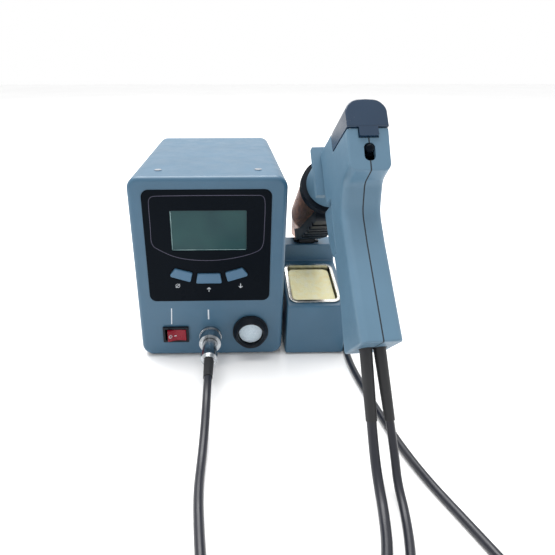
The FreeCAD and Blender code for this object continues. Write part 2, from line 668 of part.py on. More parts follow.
def build_grip_half(label, side):
    """One half of the gun's casing; side is -1 for the left and 1 for the right."""
    body = new_body(label, GUN)
    back = side > 0
    sketch = sketch_on(body, "XZ_Plane")
    draw_loop(sketch, GRIP_OUTLINE)
    pad(body, sketch, D.gun_half, back=back)
    skin = number(D.gun_half) * side
    round_edges(body, D.grip_round, lambda edge: lies_on(edge, 1, skin) and is_grip_back(edge))
    round_edges(body, 1.2, lambda edge: lies_on(edge, 1, skin) and not is_grip_back(edge))
    round_edges(body, 0.3, lambda edge: lies_on(edge, 1, 0), "PartDesign::Chamfer")
    sketch = sketch_on(body, "XZ_Plane")
    draw_loop(sketch, GRIP_ROOM)
    pocket(body, sketch, D.gun_half - D.gun_wall, back=not back)
    sketch = sketch_on(body, "YZ_Plane", 190)
    draw_rect(sketch, -3.3, -18.8, 6.6, 10.4, 2.9)
    pocket(body, sketch, 15, back=True)
    sketch = sketch_on(body, "XZ_Plane")
    draw_rect(sketch, 198.2, -5.6, 6, 8)
    pocket(body, sketch, 6.05, back=not back)
    sketch = sketch_on(body, "XY_Plane", -130)
    draw_circle(sketch, D.lead_x, D.lead_spacing * side, 4.5)
    pocket(body, sketch, 13, back=True)
    sketch = sketch_on(body, "YZ_Plane", 150)
    draw_circle(sketch, 0, -44, 3.3)
    pocket(body, sketch, 10, back=True)
    sketch = sketch_on(body, "YZ_Plane", 144)
    draw_circle(sketch, 0, 0, 9.6)
    pocket(body, sketch, 6, back=True)
    sketch = sketch_on(body, "XZ_Plane", -2.4 * side)
    draw_loop(sketch, [(166, 12, 0), (166, 16.6, 2), (176.2, 16.6, 2), (176.2, 10.8, 2), (170.5, 10.8, 0)])
    pad(body, sketch, 2.4, back=back)
    sketch = sketch_on(body, "XZ_Plane")
    draw_circle(sketch, HINGE_X, HINGE_Z, 1.04)
    pocket(body, sketch, 8, back=not back)


HINGE_X = 173.8
HINGE_Z = 14.2


def build_cover():
    """Domed black cover over the glass chamber, hinged at its front on a cross pin."""
    body = new_body("gun_cover", GUN)
    half = number(D.gun_half) - 0.1
    apex = number(D.cover_apex)
    dome = [(-half, 0.6, 0.4), (-half, 12.6, 7.5), (-7.8, apex - 0.5, 8), (0, apex, 14), (7.8, apex - 0.5, 8),
            (half, 12.6, 7.5), (half, 0.6, 0.4)]
    sketch = sketch_on(body, "YZ_Plane", D.cover_front)
    draw_loop(sketch, dome)
    pad(body, sketch, D.cover_back - D.cover_front)
    round_edges(body, 0.9, lambda edge: lies_on(edge, 0, D.cover_back))
    inside = number(D.gun_half) - 2
    sketch = sketch_on(body, "YZ_Plane", D.cover_front - 1)
    draw_loop(sketch, [(-inside, -1, 0), (-inside, 11.6, 5.5), (-6.8, apex - 2.4, 6), (0, apex - 2, 12),
                       (6.8, apex - 2.4, 6), (inside, 11.6, 5.5), (inside, -1, 0)])
    pocket(body, sketch, D.cover_back - D.cover_front - 1, back=True)
    sketch = sketch_on(body, "XY_Plane", 2)
    draw_rect(sketch, D.cover_front - 1, -5.2, 6.2, 10.4, 0.8)
    pocket(body, sketch, 20, back=True)
    sketch = sketch_on(body, "YZ_Plane", 199.4)
    draw_rect(sketch, -5.7, -5, 11.4, 8, 0.8)
    pad(body, sketch, 1.9)
    for side in (-1, 1):
        sketch = sketch_on(body, "XZ_Plane", -5.3 if side > 0 else 7.7)
        draw_loop(sketch, [(172.2, 11.9, 1), (178, 11.9, 1), (178, 16.5, 0), (172.2, 16.5, 1.2)])
        pad(body, sketch, 2.4, back=True)
    sketch = sketch_on(body, "XZ_Plane", -20)
    draw_circle(sketch, HINGE_X, HINGE_Z, 1.04)
    pocket(body, sketch, 40, back=True)
    node("cover_hinge_pin", rod((HINGE_X, -7.6, HINGE_Z), Y_AXIS, 1, 15.2), GUN)


def build_latch():
    """Sprung latch button in the slot of the rear face, with a ball-shaped thumb piece."""
    z = number(D.latch_z)
    ball = doc.addObject("Part::Sphere", "thumb")
    bind(ball, Radius=2.7)
    ball.Placement = Placement(Vector(198.3, 0, z), Rotation())
    stem = rod((194, 0, z), X_AXIS, 1.6, 4)
    slide = box((191.5, -6, z - 3), 3, 12, 5)
    node("cover_latch", fuse(ball, stem, slide), GUN)


def build_gun_inside():
    """Glass collecting tube with its seals and baffle, heater, barrel and nozzle."""
    glass = tube((150.2, 0, 0), X_AXIS, D.glass_radius, D.glass_radius - 1.2, 41.6)
    node("glass_tube", glass, GUN)
    front = cut(rod((146.2, 0, 0), X_AXIS, D.glass_radius, 4), rod((146, 0, 0), X_AXIS, 2, 5))
    rear = cut(rod((191.8, 0, 0), X_AXIS, 8.6, 3.2), rod((191.6, 0, 0), X_AXIS, 2, 5))
    node("tube_seals", group(front, rear), GUN)
    baffle = [tube((156 + 4 * i, 0, 0), X_AXIS, 7.6, 6.6, 1.2) for i in range(6)]
    links = rod((156, 7.1, 0), X_AXIS, 0.5, 21.2)
    node("solder_baffle", fuse(*baffle, links), GUN)

    collar = rod((D.collar_front, 0, 0), X_AXIS, D.collar_radius, D.collar_back - D.collar_front)
    width = number(D.collar_radius) * 2 + 0.4
    flange = box((number(D.collar_back) - 5, -width / 2, -width / 2), 5, width, width)
    bore = rod((D.collar_front - 1, 0, 0), X_AXIS, 8.4, 30)
    node("nose_collar", cut(fuse(collar, flange), bore), GUN)
    barrel = tube((34, 0, 0), X_AXIS, D.barrel_radius, 6.6, 110)
    holes = []
    for i in range(5):
        for turn in (0, 60, 120):
            axis = Rotation(X_AXIS, turn).multVec(Y_AXIS)
            holes.append(rod(Vector(56 + 9 * i, 0, 0) - axis * 12, axis, 1.6, 24))
    node("barrel_tube", cut(barrel, *holes), GUN)
    node("heater_core", tube((30, 0, 0), X_AXIS, 5.4, 1.6, 114), GUN)
    point_end = fuse(taper((0, 0, 0), X_AXIS, 1.3, 4.4, 14), rod((14, 0, 0), X_AXIS, 4.4, 16), rod((22, 0, 0), X_AXIS, 6, 8))
    node("nozzle", cut(point_end, rod((-1, 0, 0), X_AXIS, 0.7, 40)), GUN)


def build_trigger():
    """Trigger with a guided stem, and the sprung switch behind it."""
    body = new_body("trigger", GUN)
    half = number(D.trigger_half)
    sketch = sketch_on(body, "XZ_Plane", half)
    draw_loop(sketch, [(134.5, -26, 2.5), (150.9, -26, 0.4), (150.9, -60.5, 0.4), (141, -60.5, 2.5), (136.3, -48, 30)])
    pad(body, sketch, D.trigger_half * 2, back=True)
    round_edges(body, 1.5, lambda edge: abs(abs(edge.CenterOfMass.y) - half) < 0.01 and edge.CenterOfMass.x < 150)
    sketch = sketch_on(body, "YZ_Plane", 150)
    draw_circle(sketch, 0, -44, 3.2)
    pad(body, sketch, 11.5)
    node("trigger_switch", box((167.6, -5, -52), 6, 10, 16), GUN)


BOOT_WAY = {-1: Vector(-0.12, 0, -1).normalize(), 1: Vector(-0.08, 0.045, -1).normalize()}


def boot_root(side):
    """Where a lead's bend relief starts inside the grip, in the gun frame."""
    return point(D.lead_x, D.lead_spacing * side, D.grip_end * -1 + 4)


def boot_end(side, further=0):
    """A spot on the bend relief's axis at its end, or further along, in the station frame."""
    reach = number(D.boot_length) + further
    return GUN_IN_STATION.multVec(boot_root(side) + BOOT_WAY[side] * reach)


def build_gun_leads():
    """Bend reliefs of the electrical lead and the vacuum hose at the grip's end."""
    for label, side, tail in (("cable_boot", -1, 3.3), ("hose_boot", 1, 3)):
        node(label, taper(boot_root(side), BOOT_WAY[side], D.boot_radius, tail, D.boot_length), GUN)
    screws = []
    for x, z in ((160, -10), (166, -70), (168, -110), (190, -19)):
        screws.append(rod((x, number(D.gun_half) - 1.4, z), Y_AXIS, 2.2, 1.2))
    node("gun_screws", group(*screws), GUN)


# ---------------------------------------------------------------- leads
def lead_tube(label, route, radius):
    """A round tube along straight runs joined by tangent arcs as large as the runs allow."""
    edges = []
    last = route[0]
    bends = []
    for before, here, after in zip(route, route[1:], route[2:]):
        back, ahead = before - here, after - here
        half = (math.pi - back.getAngle(ahead)) / 2
        short = min(back.Length, ahead.Length)
        reach = 0.45 * short
        bends.append(reach / math.tan(half))
        back.normalize()
        ahead.normalize()
        first, final = here + back * reach, here + ahead * reach
        middle = (back + ahead).normalize()
        crown = here + middle * (bends[-1] / math.cos(half) - bends[-1])
        edges += [Part.LineSegment(last, first).toShape(), Part.Arc(first, crown, final).toShape()]
        last = final
    edges.append(Part.LineSegment(last, route[-1]).toShape())
    path = Part.Wire(edges)
    start = route[1] - route[0]
    ring = Part.Wire(Part.makeCircle(radius, route[0], start))
    shape = path.makePipeShell([ring], True, False)
    share = shape.Volume / (math.pi * radius ** 2 * path.Length)
    print("%-18s length %6.1f, tightest bend %5.1f, volume share %.4f"
          % (label, path.Length, min(bends), share))
    if abs(share - 1) > 0.01:
        raise RuntimeError(label + " has a wrong volume")
    return shape


def coil_ring(x, y, middle, inner, height):
    """The outer shape of a neat round coil that lies on the table."""
    outer = middle + (middle - inner)
    ring = Part.makeCylinder(outer, height, Vector(x, y, 0))
    return ring.cut(Part.makeCylinder(inner, height, Vector(x, y, 0)))


def build_leads():
    """The gun's electrical lead and vacuum hose on the table, each with its stored coil."""
    rest = number(D.cable_radius)
    cx, cy, cr = number(D.cable_coil_x), number(D.cable_coil_y), number(D.cable_coil_radius)
    front = [(56.4, -56, 20), (56.3, -73, 18.2), (55.7, -91, 9.6), (54.6, -112, rest), (53.6, -136, rest),
             (55.4, -160, rest), (61.6, -188, rest), (cx - cr, cy, rest)]
    back = [boot_end(-1), boot_end(-1, 18.5), Vector(155, -138.6, 8.4), Vector(154.4, -153, rest),
            Vector(150, -174, rest), Vector(138.4, -196, rest), Vector(cx + cr, cy, rest)]
    feature("gun_cable_front", lead_tube("gun_cable_front", [Vector(*spot) for spot in front], rest))
    feature("gun_cable_back", lead_tube("gun_cable_back", back, rest))
    feature("gun_cable_coil", coil_ring(cx, cy, cr, cr - 2 * rest, 4 * rest))

    rest = number(D.hose_radius)
    hx, hy, hr = number(D.hose_coil_x), number(D.hose_coil_y), number(D.hose_coil_radius)
    gun_side = [boot_end(1), boot_end(1, 18.5), Vector(166, -138.2, 8), Vector(166, -153, rest),
                Vector(161.6, -174, rest), Vector(155, -196, rest), Vector(hx - hr, hy, rest)]
    rear = [(hx + hr, hy, rest), (206.5, -190, rest), (197, -160, rest), (186.5, -132, rest), (179.6, -104, rest),
            (175.4, -76, rest), (171.6, -48, rest), (168.9, -18, rest), (170.3, 8, rest), (171, 38, rest),
            (172, 70, rest), (170.6, 102, rest), (164, 130, rest), (156, 156, rest), (152.2, 182, rest),
            (152, 206, 3.6), (141, 222.4, 9), (122, 229, 17), (103, 222.4, 26), (92.2, 206, 30),
            (92, number(D.station_depth) + 8, 30)]
    feature("vacuum_hose_gun", lead_tube("vacuum_hose_gun", gun_side, rest))
    feature("vacuum_hose_rear", lead_tube("vacuum_hose_rear", [Vector(*spot) for spot in rear], rest))
    feature("vacuum_hose_coil", coil_ring(hx, hy, hr, hr - 2 * rest, 4 * rest))


# ---------------------------------------------------------------- build, test and write
build_station_cover()
build_chassis()
build_display()
build_rocker()
build_connector()
build_vacuum_port()
build_inside()
build_rear_fittings()
build_stand()
build_holder()
build_grip_half("gun_shell_left", -1)
build_grip_half("gun_shell_right", 1)
build_cover()
build_latch()
build_gun_inside()
build_trigger()
build_gun_leads()
build_leads()
doc.recompute()

for obj in doc.Objects:
    if "Invalid" in obj.State or "Error" in obj.State:
        raise RuntimeError("%s (%s) did not compute" % (obj.Name, obj.Label))

os.makedirs("parts", exist_ok=True)
LEADS = ("gun_cable", "vacuum_hose", "plug_", "cable_boot", "hose_boot")
whole = FreeCAD.BoundBox()
for obj in NODES:
    if obj.Shape.isNull() or not obj.Shape.isValid():
        raise RuntimeError(obj.Label + " has no valid shape")
    if not obj.Label.startswith(LEADS):
        whole.add(obj.Shape.BoundBox)
    obj.Shape.exportStep("parts/%s.step" % obj.Label)
print("%d nodes" % len(NODES))
print("object without leads: x %.2f %.2f, y %.2f %.2f, z %.2f %.2f"
      % (whole.XMin, whole.XMax, whole.YMin, whole.YMax, whole.ZMin, whole.ZMax))
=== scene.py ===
"""Visual model of the desoldering station: control unit, gun stand and vacuum gun.

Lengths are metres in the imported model's frame. Places on the object are given from the
control unit's left front corner at table level (right, away from the user, up), and
places on the gun from its nozzle's tip (back along the barrel, to the right, up).
"""
import json
import math

import bmesh
import bpy
from mathutils import Euler, Matrix, Vector, noise


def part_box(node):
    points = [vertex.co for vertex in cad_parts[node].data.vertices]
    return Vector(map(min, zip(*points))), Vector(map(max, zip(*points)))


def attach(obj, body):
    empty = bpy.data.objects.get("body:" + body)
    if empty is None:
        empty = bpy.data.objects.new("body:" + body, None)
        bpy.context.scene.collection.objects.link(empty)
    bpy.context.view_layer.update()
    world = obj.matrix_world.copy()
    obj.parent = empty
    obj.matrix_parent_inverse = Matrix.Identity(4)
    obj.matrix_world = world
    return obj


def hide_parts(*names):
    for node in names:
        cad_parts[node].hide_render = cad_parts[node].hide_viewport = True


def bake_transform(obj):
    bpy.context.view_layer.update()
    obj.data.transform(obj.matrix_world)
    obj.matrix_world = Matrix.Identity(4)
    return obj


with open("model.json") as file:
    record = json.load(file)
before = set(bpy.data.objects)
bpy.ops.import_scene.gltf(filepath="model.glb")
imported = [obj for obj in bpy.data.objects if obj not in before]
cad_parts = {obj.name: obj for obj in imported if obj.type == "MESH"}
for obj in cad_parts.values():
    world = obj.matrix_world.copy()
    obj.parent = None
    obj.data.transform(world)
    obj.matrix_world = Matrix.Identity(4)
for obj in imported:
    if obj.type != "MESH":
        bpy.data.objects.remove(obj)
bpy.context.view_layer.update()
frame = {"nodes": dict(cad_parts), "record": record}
nodes = frame["nodes"]

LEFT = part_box("station_cover")[0].x
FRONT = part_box("station_cover")[0].y


def at(right, away, up):
    return Vector((LEFT + right, FRONT + away, up))


NOZZLE_TIP = at(0.1387, 0.1092, 0.0667)
GUN_HEADING = Matrix.Rotation(math.radians(-85), 3, "Z")
GUN_DIP = Matrix.Rotation(math.radians(-37.4), 3, "Y")
GUN = Matrix.LocRotScale(NOZZLE_TIP, GUN_HEADING @ GUN_DIP, None)


def on_gun(back, right, up):
    return GUN @ Vector((back, right, up))


# ---------------------------------------------------------------- camera
CAMERA_PLACE = (0.0733, -0.3214, 0.2228)
LOOKS_DOWN = 25.14
LOOKS_LEFT = -1.41
SENSOR = 36         # millimetres, as is the lens
LENS = 29.86
LENS_SHIFT = 0.066


def add_camera():
    data = bpy.data.cameras.new("camera")
    data.sensor_width = SENSOR
    data.lens = LENS
    data.shift_x = LENS_SHIFT
    camera = bpy.data.objects.new("camera", data)
    camera.location = at(*CAMERA_PLACE)
    camera.rotation_euler = Euler((math.radians(90 - LOOKS_DOWN), 0, math.radians(LOOKS_LEFT)))
    bpy.context.scene.collection.objects.link(camera)
    bpy.context.scene.camera = camera


# ---------------------------------------------------------------- leads
CABLE_WIDTH = 0.0058
HOSE_WIDTH = 0.005
BOOT_ROOT = (0.165, 0.0041, -0.118)
BOOT_LENGTH = 0.046
STRAIGHT_OUT = 0.0185
TURN_POINTS = 16

# a coil's middle, to the right and away, and its radius
CABLE_COIL = (0.1, -0.217, 0.033)
HOSE_COIL = (0.18, -0.219, 0.027)

# each stage of a coil: the turns so far, then how far the lead lies outside the coil's radius
# and how high it lies, both in diameters
CABLE_TURNS = [(0, 1.5, 0.5), (2, -0.5, 0.5), (2.5, -0.7, 0.95), (3, -0.4, 1.42), (4, 0.6, 1.42),
               (4.2, 1.1, 1.42), (4.5, 1.95, 0.5)]
HOSE_TURNS = [(0, 1.1, 0.5), (1.5, -0.4, 0.5), (2, -0.6, 1.25), (2.5, 0.1, 1.42), (3, 0.6, 1.42),
              (3.2, 1, 1.42), (3.5, 1.6, 0.5)]


def boot_end(side, way, further=0.0):
    """The end of the cable's boot (side -1) or the hose's (side 1), or a place further along it."""
    back, right, up = BOOT_ROOT
    root = Vector((back, right * side, up))
    return on_gun(*(root + Vector(way).normalized() * (BOOT_LENGTH + further)))


def between(stages, turn):
    """How far out and how high a coil's lead lies after this many turns."""
    for first, last in zip(stages, stages[1:]):
        if turn <= last[0]:
            share = (turn - first[0]) / (last[0] - first[0])
            return [a + (b - a) * share for a, b in zip(first[1:], last[1:])]
    return stages[-1][1:]


def coil(right, away, radius, width, stages, first_angle, way):
    """Points of a wound lead, one by one around the coil's upright axis."""
    points = []
    count = int(stages[-1][0] * TURN_POINTS)
    grow = 1 / math.cos(math.pi / TURN_POINTS)
    for i in range(count + 1):
        turn = i / TURN_POINTS
        offset, height = between(stages, turn)
        angle = first_angle + way * 2 * math.pi * turn
        reach = (radius + offset * width) * grow
        across, along = reach * math.cos(angle), reach * math.sin(angle)
        points.append(at(right + across, away + along, height * width))
    return points


def spline(name, points, width):
    """A curve object whose one NURBS spline has these control points."""
    data = bpy.data.curves.new(name, "CURVE")
    data.dimensions = "3D"
    data.resolution_u = 6
    line = data.splines.new("NURBS")
    line.points.add(len(points) - 1)
    for spot, place in zip(line.points, points):
        spot.co = (*place, 1)
    line.order_u = 3
    line.use_endpoint_u = True
    data.bevel_depth = width / 2
    data.bevel_resolution = 5
    data.use_fill_caps = True
    obj = bpy.data.objects.new(name, data)
    bpy.context.scene.collection.objects.link(obj)
    return obj


def as_mesh(obj):
    """The object's shape as it shows now, with its bevel or modifiers, as a new mesh."""
    bpy.context.view_layer.update()
    return bpy.data.meshes.new_from_object(obj.evaluated_get(bpy.context.evaluated_depsgraph_get()))


def lead(name, points, width):
    """A smooth tube along the route, and the line that it follows."""
    curve = spline(name + "_route", points, 0)
    line = [vertex.co.copy() for vertex in as_mesh(curve).vertices]
    curve.data.bevel_depth = width / 2
    tube = as_mesh(curve)
    bpy.data.objects.remove(curve)
    for face in tube.polygons:
        face.use_smooth = True
    obj = bpy.data.objects.new(name, tube)
    bpy.context.scene.collection.objects.link(obj)
    return obj, line


def add_leads():
    """The gun's cable to its plug on the front, and the vacuum hose to the fitting at the back."""
    way = (-0.12, 0, -1)
    floor = CABLE_WIDTH / 2
    route = [boot_end(-1, way), boot_end(-1, way, STRAIGHT_OUT), at(0.155, -0.1386, 0.0084),
             at(0.1544, -0.153, floor), at(0.15, -0.174, floor), at(0.1414, -0.196, floor)]
    route += coil(*CABLE_COIL, CABLE_WIDTH, CABLE_TURNS, 0, -1)
    route += [at(0.0586, -0.188, floor), at(0.0554, -0.16, floor), at(0.0536, -0.136, floor),
              at(0.0546, -0.112, floor), at(0.0557, -0.091, 0.0096), at(0.0563, -0.073, 0.0182),
              at(0.0564, -0.056, 0.02)]
    cable, line = lead("gun_cable", route, CABLE_WIDTH)
    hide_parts("gun_cable_front", "gun_cable_back", "gun_cable_coil")
    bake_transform(cable)

    way = (-0.08, 0.045, -1)
    floor = HOSE_WIDTH / 2
    route = [boot_end(1, way), boot_end(1, way, STRAIGHT_OUT), at(0.166, -0.1382, 0.008),
             at(0.166, -0.153, floor), at(0.1616, -0.174, floor), at(0.154, -0.196, floor)]
    route += coil(*HOSE_COIL, HOSE_WIDTH, HOSE_TURNS, math.pi, 1)
    route += [at(0.208, -0.19, floor), at(0.197, -0.16, floor), at(0.1865, -0.132, floor),
              at(0.1796, -0.104, floor), at(0.1754, -0.076, floor), at(0.1716, -0.048, floor),
              at(0.1689, -0.018, floor), at(0.1703, 0.008, floor), at(0.171, 0.038, floor),
              at(0.172, 0.07, floor), at(0.1706, 0.102, floor), at(0.164, 0.13, floor),
              at(0.156, 0.156, floor), at(0.1522, 0.182, floor), at(0.152, 0.206, 0.0036),
              at(0.141, 0.2224, 0.009), at(0.122, 0.229, 0.017), at(0.103, 0.2224, 0.026),
              at(0.0922, 0.206, 0.03), at(0.092, 0.188, 0.03)]
    hose, line = lead("vacuum_hose", route, HOSE_WIDTH)
    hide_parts("vacuum_hose_gun", "vacuum_hose_rear", "vacuum_hose_coil")
    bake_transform(hose)
    return cable, hose


# ---------------------------------------------------------------- materials
def linear(red, green, blue):
    """A colour given as it looks on a screen, 0 to 255, as the light values that shaders take."""
    values = []
    for part in (red, green, blue):
        part /= 255
        values.append(part / 12.92 if part <= 0.04045 else ((part + 0.055) / 1.055) ** 2.4)
    return (*values, 1)


class Surface:
    """A node material with one Principled shader, built up from procedural patterns."""

    def __init__(self, name, colour, roughness, metallic=0.0):
        self.material = bpy.data.materials.new(name)
        self.material.use_nodes = True
        self.tree = self.material.node_tree
        self.shader = self.tree.nodes["Principled BSDF"]
        self.shader.inputs["Base Color"].default_value = colour
        self.shader.inputs["Roughness"].default_value = roughness
        self.shader.inputs["Metallic"].default_value = metallic
        self.place = self.tree.nodes.new("ShaderNodeTexCoord").outputs["Object"]
        self.normal = None

    def add(self, kind, **inputs):
        made = self.tree.nodes.new("ShaderNode" + kind)
        for name, value in inputs.items():
            made.inputs[name].default_value = value
        return made

    def link(self, source, target):
        self.tree.links.new(source, target)

    def stretched(self, scale):
        """The surface's own coordinates, scaled apart along its axes."""
        mapping = self.add("Mapping", Scale=scale)
        self.link(self.place, mapping.inputs["Vector"])
        return mapping.outputs["Vector"]

    def noise(self, size, detail=3.0, rough=0.5, place=None):
        """Soft noise whose blobs are about this size across."""
        made = self.add("TexNoise", Scale=1 / size, Detail=detail, Roughness=rough)
        self.link(place or self.place, made.inputs["Vector"])
        return made.outputs["Fac"]

    def cells(self, size, feature="F1"):
        made = self.add("TexVoronoi", Scale=1 / size)
        made.feature = feature
        self.link(self.place, made.inputs["Vector"])
        return made.outputs["Distance"]

    def spread(self, source, low, high, to_low, to_high):
        """A pattern's values between low and high, stretched over another range."""
        limits = {"From Min": low, "From Max": high, "To Min": to_low, "To Max": to_high}
        made = self.add("MapRange", **limits)
        self.link(source, made.inputs["Value"])
        return made.outputs["Result"]

    def colours(self, source, *stops):
        """Colour the surface by a pattern, with stops of (position, colour)."""
        ramp = self.add("ValToRGB")
        elements = ramp.color_ramp.elements
        while len(elements) < len(stops):
            elements.new(0.5)
        for element, (position, colour) in zip(elements, stops):
            element.position = position
            element.color = colour
        self.link(source, ramp.inputs["Fac"])
        self.link(ramp.outputs["Color"], self.shader.inputs["Base Color"])
        return self

    def polish(self, source, low, high):
        """Let the roughness follow a pattern."""
        self.link(self.spread(source, 0.3, 0.7, low, high), self.shader.inputs["Roughness"])
        return self

    def bump(self, source, depth, strength=1.0):
        made = self.add("Bump", Strength=strength, Distance=depth)
        self.link(source, made.inputs["Height"])
        if self.normal:
            self.link(self.normal, made.inputs["Normal"])
        self.normal = made.outputs["Normal"]
        self.link(self.normal, self.shader.inputs["Normal"])
        return self

    def shine(self, level):
        self.shader.inputs["Specular IOR Level"].default_value = level
        return self

    def gloss(self, coat, roughness=0.1):
        self.shader.inputs["Coat Weight"].default_value = coat
        self.shader.inputs["Coat Roughness"].default_value = roughness
        return self


def shade(colour, times):
    """A lighter or darker shade of a colour."""
    return (*(min(1, part * times) for part in colour[:3]), 1)


def moulded(name, colour, roughness, grain=0.0005, depth=0.00005, drift=0.05):
    """Moulded plastic: a fine spark-eroded grain and slow changes of shade and polish."""
    made = Surface(name, colour, roughness)
    light, dark = shade(colour, 1 + drift), shade(colour, 1 - drift)
    made.colours(made.noise(0.03, 4), (0.3, dark), (0.7, light))
    made.polish(made.noise(0.012, 5), roughness - 0.05, roughness + 0.07)
    made.bump(made.noise(grain, 2, 0.6), depth, 0.5)
    return made


def metal(name, colour, roughness, along=(1, 1, 1), size=0.0004, depth=0.00002, drift=0.06):
    """Metal with a drawn or turned finish along one axis and a drifting shade: faint staining at a
    small drift, painted reflection at a large one.
    """
    made = Surface(name, colour, roughness, 1.0)
    light, dark = shade(colour, 1 + drift), shade(colour, 1 - drift * 2)
    made.colours(made.noise(0.006, 5, 0.6), (0.3, dark), (0.65, light))
    lines = made.noise(size, 4, 0.6, made.stretched(along))
    made.polish(lines, max(0.05, roughness - 0.08), roughness + 0.1)
    made.bump(lines, depth, 0.6)
    return made


def rubber(name, colour, roughness):
    made = moulded(name, colour, roughness, 0.0009, 0.00006, 0.12)
    made.bump(made.noise(0.00012, 2), 0.00001, 0.4)
    return made


def glass(name, colour, roughness, shown):
    made = Surface(name, colour, roughness)
    made.shader.inputs["Alpha"].default_value = shown
    made.polish(made.noise(0.01, 5), roughness, roughness + 0.1)
    made.gloss(1.0, 0.03)
    return made


def sponge_surface():
    made = Surface("cellulose_sponge", linear(238, 231, 192), 0.9)
    made.colours(made.noise(0.006, 6, 0.65), (0.28, linear(252, 238, 178)),
                 (0.5, linear(255, 249, 202)), (0.75, linear(255, 252, 224)))
    made.bump(made.cells(0.0016), 0.0006, 0.5)
    made.bump(made.cells(0.0006), 0.0003, 0.5)
    made.bump(made.noise(0.0003, 3), 0.0001, 0.5)
    made.shader.inputs["Sheen Weight"].default_value = 0.15
    return made


def felt_surface():
    made = Surface("filter_felt", linear(226, 234, 240), 0.95)
    made.colours(made.noise(0.0012, 6, 0.7), (0.3, linear(180, 200, 214)),
                 (0.7, linear(222, 234, 242)))
    made.bump(made.noise(0.00025, 5, 0.7), 0.0003, 0.8)
    made.shader.inputs["Sheen Weight"].default_value = 0.3
    return made


def horn_surface():
    """Bright sheet metal that heat has tinted from straw to copper."""
    made = metal("heat_tinted_steel", linear(176, 110, 74), 0.26, (1, 1, 6), 0.0015, 0.00004)
    made.colours(made.noise(0.014, 4, 0.6), (0.3, linear(104, 56, 36)),
                 (0.52, linear(186, 112, 72)), (0.75, linear(206, 150, 112)))
    return made


def lcd_surface():
    """Unlit display glass: teal grey, with a painted reflection: slow lighter and darker patches, a
    little lighter to its lower left.
    """
    made = Surface("display_glass", linear(28, 66, 70), 0.2)
    # painted reflection: the slow teal drift stands in for the light that the glass reflects
    made.colours(made.noise(0.04, 2), (0.25, linear(14, 50, 57)), (0.75, linear(32, 72, 72)))
    made.bump(made.cells(0.0012), 0.000005, 0.2)
    made.shine(0.25)
    return made


def build_surfaces():
    """Each record slot's material."""
    return {
        "enclosure": moulded("enclosure_plastic", linear(55, 91, 115), 0.36),
        "gun_plastic": moulded("gun_plastic", linear(81, 112, 133), 0.42),
        "panel_black": moulded("panel_gloss", linear(7, 13, 20), 0.3, 0.0004, 0.00002).shine(0.04),
        "lcd_glass": lcd_surface(),
        "lcd_frame": moulded("module_frame", linear(66, 70, 72), 0.5),
        "circuit_board": moulded("circuit_board", linear(24, 84, 52), 0.35).gloss(0.5, 0.2),
        "key_plastic": moulded("key_plastic", linear(58, 96, 124), 0.38, 0.0004),
        "black_plastic": moulded("black_plastic", linear(14, 20, 28), 0.45).shine(0.2),
        "rocker_red": moulded("rocker_red", linear(126, 8, 32), 0.25, 0.001, 0.00002).shine(0.3),
        # painted reflection: the large drift paints light and dark patches into the plating's
        # colour, standing in for the bright and dark reflections of chrome
        "plated_metal": metal("bright_plating", linear(186, 190, 194), 0.12, (1, 3, 1), 0.0009,
                              0.0002, 0.25),
        "felt": felt_surface(),
        "copper_wire": metal("enamelled_wire", linear(176, 92, 44), 0.3, (1, 12, 1), 0.0008,
                             0.0002),
        "core_steel": metal("core_steel", linear(176, 180, 186), 0.3),
        "pump_metal": metal("cast_metal", linear(160, 162, 166), 0.45, (1, 1, 1), 0.0008, 0.0001),
        "rubber_black": rubber("black_rubber", linear(24, 25, 28), 0.55),
        "weight_steel": moulded("weight_paint", linear(52, 54, 56), 0.5, 0.0008, 0.0001),
        "tray_metal": metal("tray_steel", linear(196, 196, 192), 0.2, (1, 5, 1), 0.0008),
        "sponge": sponge_surface(),
        "horn_metal": horn_surface(),
        "cover_plastic": moulded("cover_plastic", linear(24, 46, 68), 0.22, 0.0008,
                                 0.00002).shine(0.45),
        "chamber_glass": glass("chamber_glass", linear(214, 232, 232), 0.03, 0.35),
        "seal_rubber": rubber("silicone_seal", linear(150, 62, 44), 0.5),
        "tube_steel": metal("tube_steel", linear(168, 164, 156), 0.28, (1, 6, 6)),
        "heater_ceramic": moulded("heater_ceramic", linear(228, 222, 208), 0.6),
        "trigger_plastic": moulded("trigger_plastic", linear(79, 110, 131), 0.42),
        "lead_rubber": rubber("lead_jacket", linear(18, 21, 32), 0.34),
    }


def dress(surfaces):
    """Give every CAD node the material of its slot."""
    for part in frame["record"]["subparts"]:
        data = nodes[part["node"]].data
        data.materials.clear()
        data.materials.append(surfaces[part["material_slot"]].material)


# ---------------------------------------------------------------- small pieces
PRINT = 0.05   # how far printed marks stand proud, in millimetres


def piece(name, vertices, faces, surface, body):
    data = bpy.data.meshes.new(name)
    data.from_pydata([tuple(vertex) for vertex in vertices], [], faces)
    data.update()
    data.materials.append(surface.material)
    obj = bpy.data.objects.new(name, data)
    bpy.context.scene.collection.objects.link(obj)
    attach(obj, body)
    return obj


def plate(name, outlines, thick, frame_of, surface, body):
    """Thin printed or moulded marks: flat outlines in the frame's x and z, raised along its -y."""
    vertices = []
    faces = []
    for outline in outlines:
        first = len(vertices)
        count = len(outline)
        vertices += [frame_of @ Vector((x, 0, z)) for x, z in outline]
        vertices += [frame_of @ Vector((x, -thick, z)) for x, z in outline]
        faces.append([first + count + i for i in range(count)])
        faces.append([first + i for i in reversed(range(count))])
        for i in range(count):
            after = (i + 1) % count
            faces.append([first + i, first + after, first + count + after, first + count + i])
    return piece(name, vertices, faces, surface, body)


def band(points, width):
    """Short four-cornered outlines that together make a line of this width through the points."""
    outlines = []
    for (x0, z0), (x1, z1) in zip(points, points[1:]):
        along = Vector((x1 - x0, z1 - z0)).normalized() * width / 2
        side = Vector((-along.y, along.x))
        a, b = Vector((x0, z0)) - along * 0.3, Vector((x1, z1)) + along * 0.3
        outlines.append([tuple(a - side), tuple(b - side), tuple(b + side), tuple(a + side)])
    return outlines


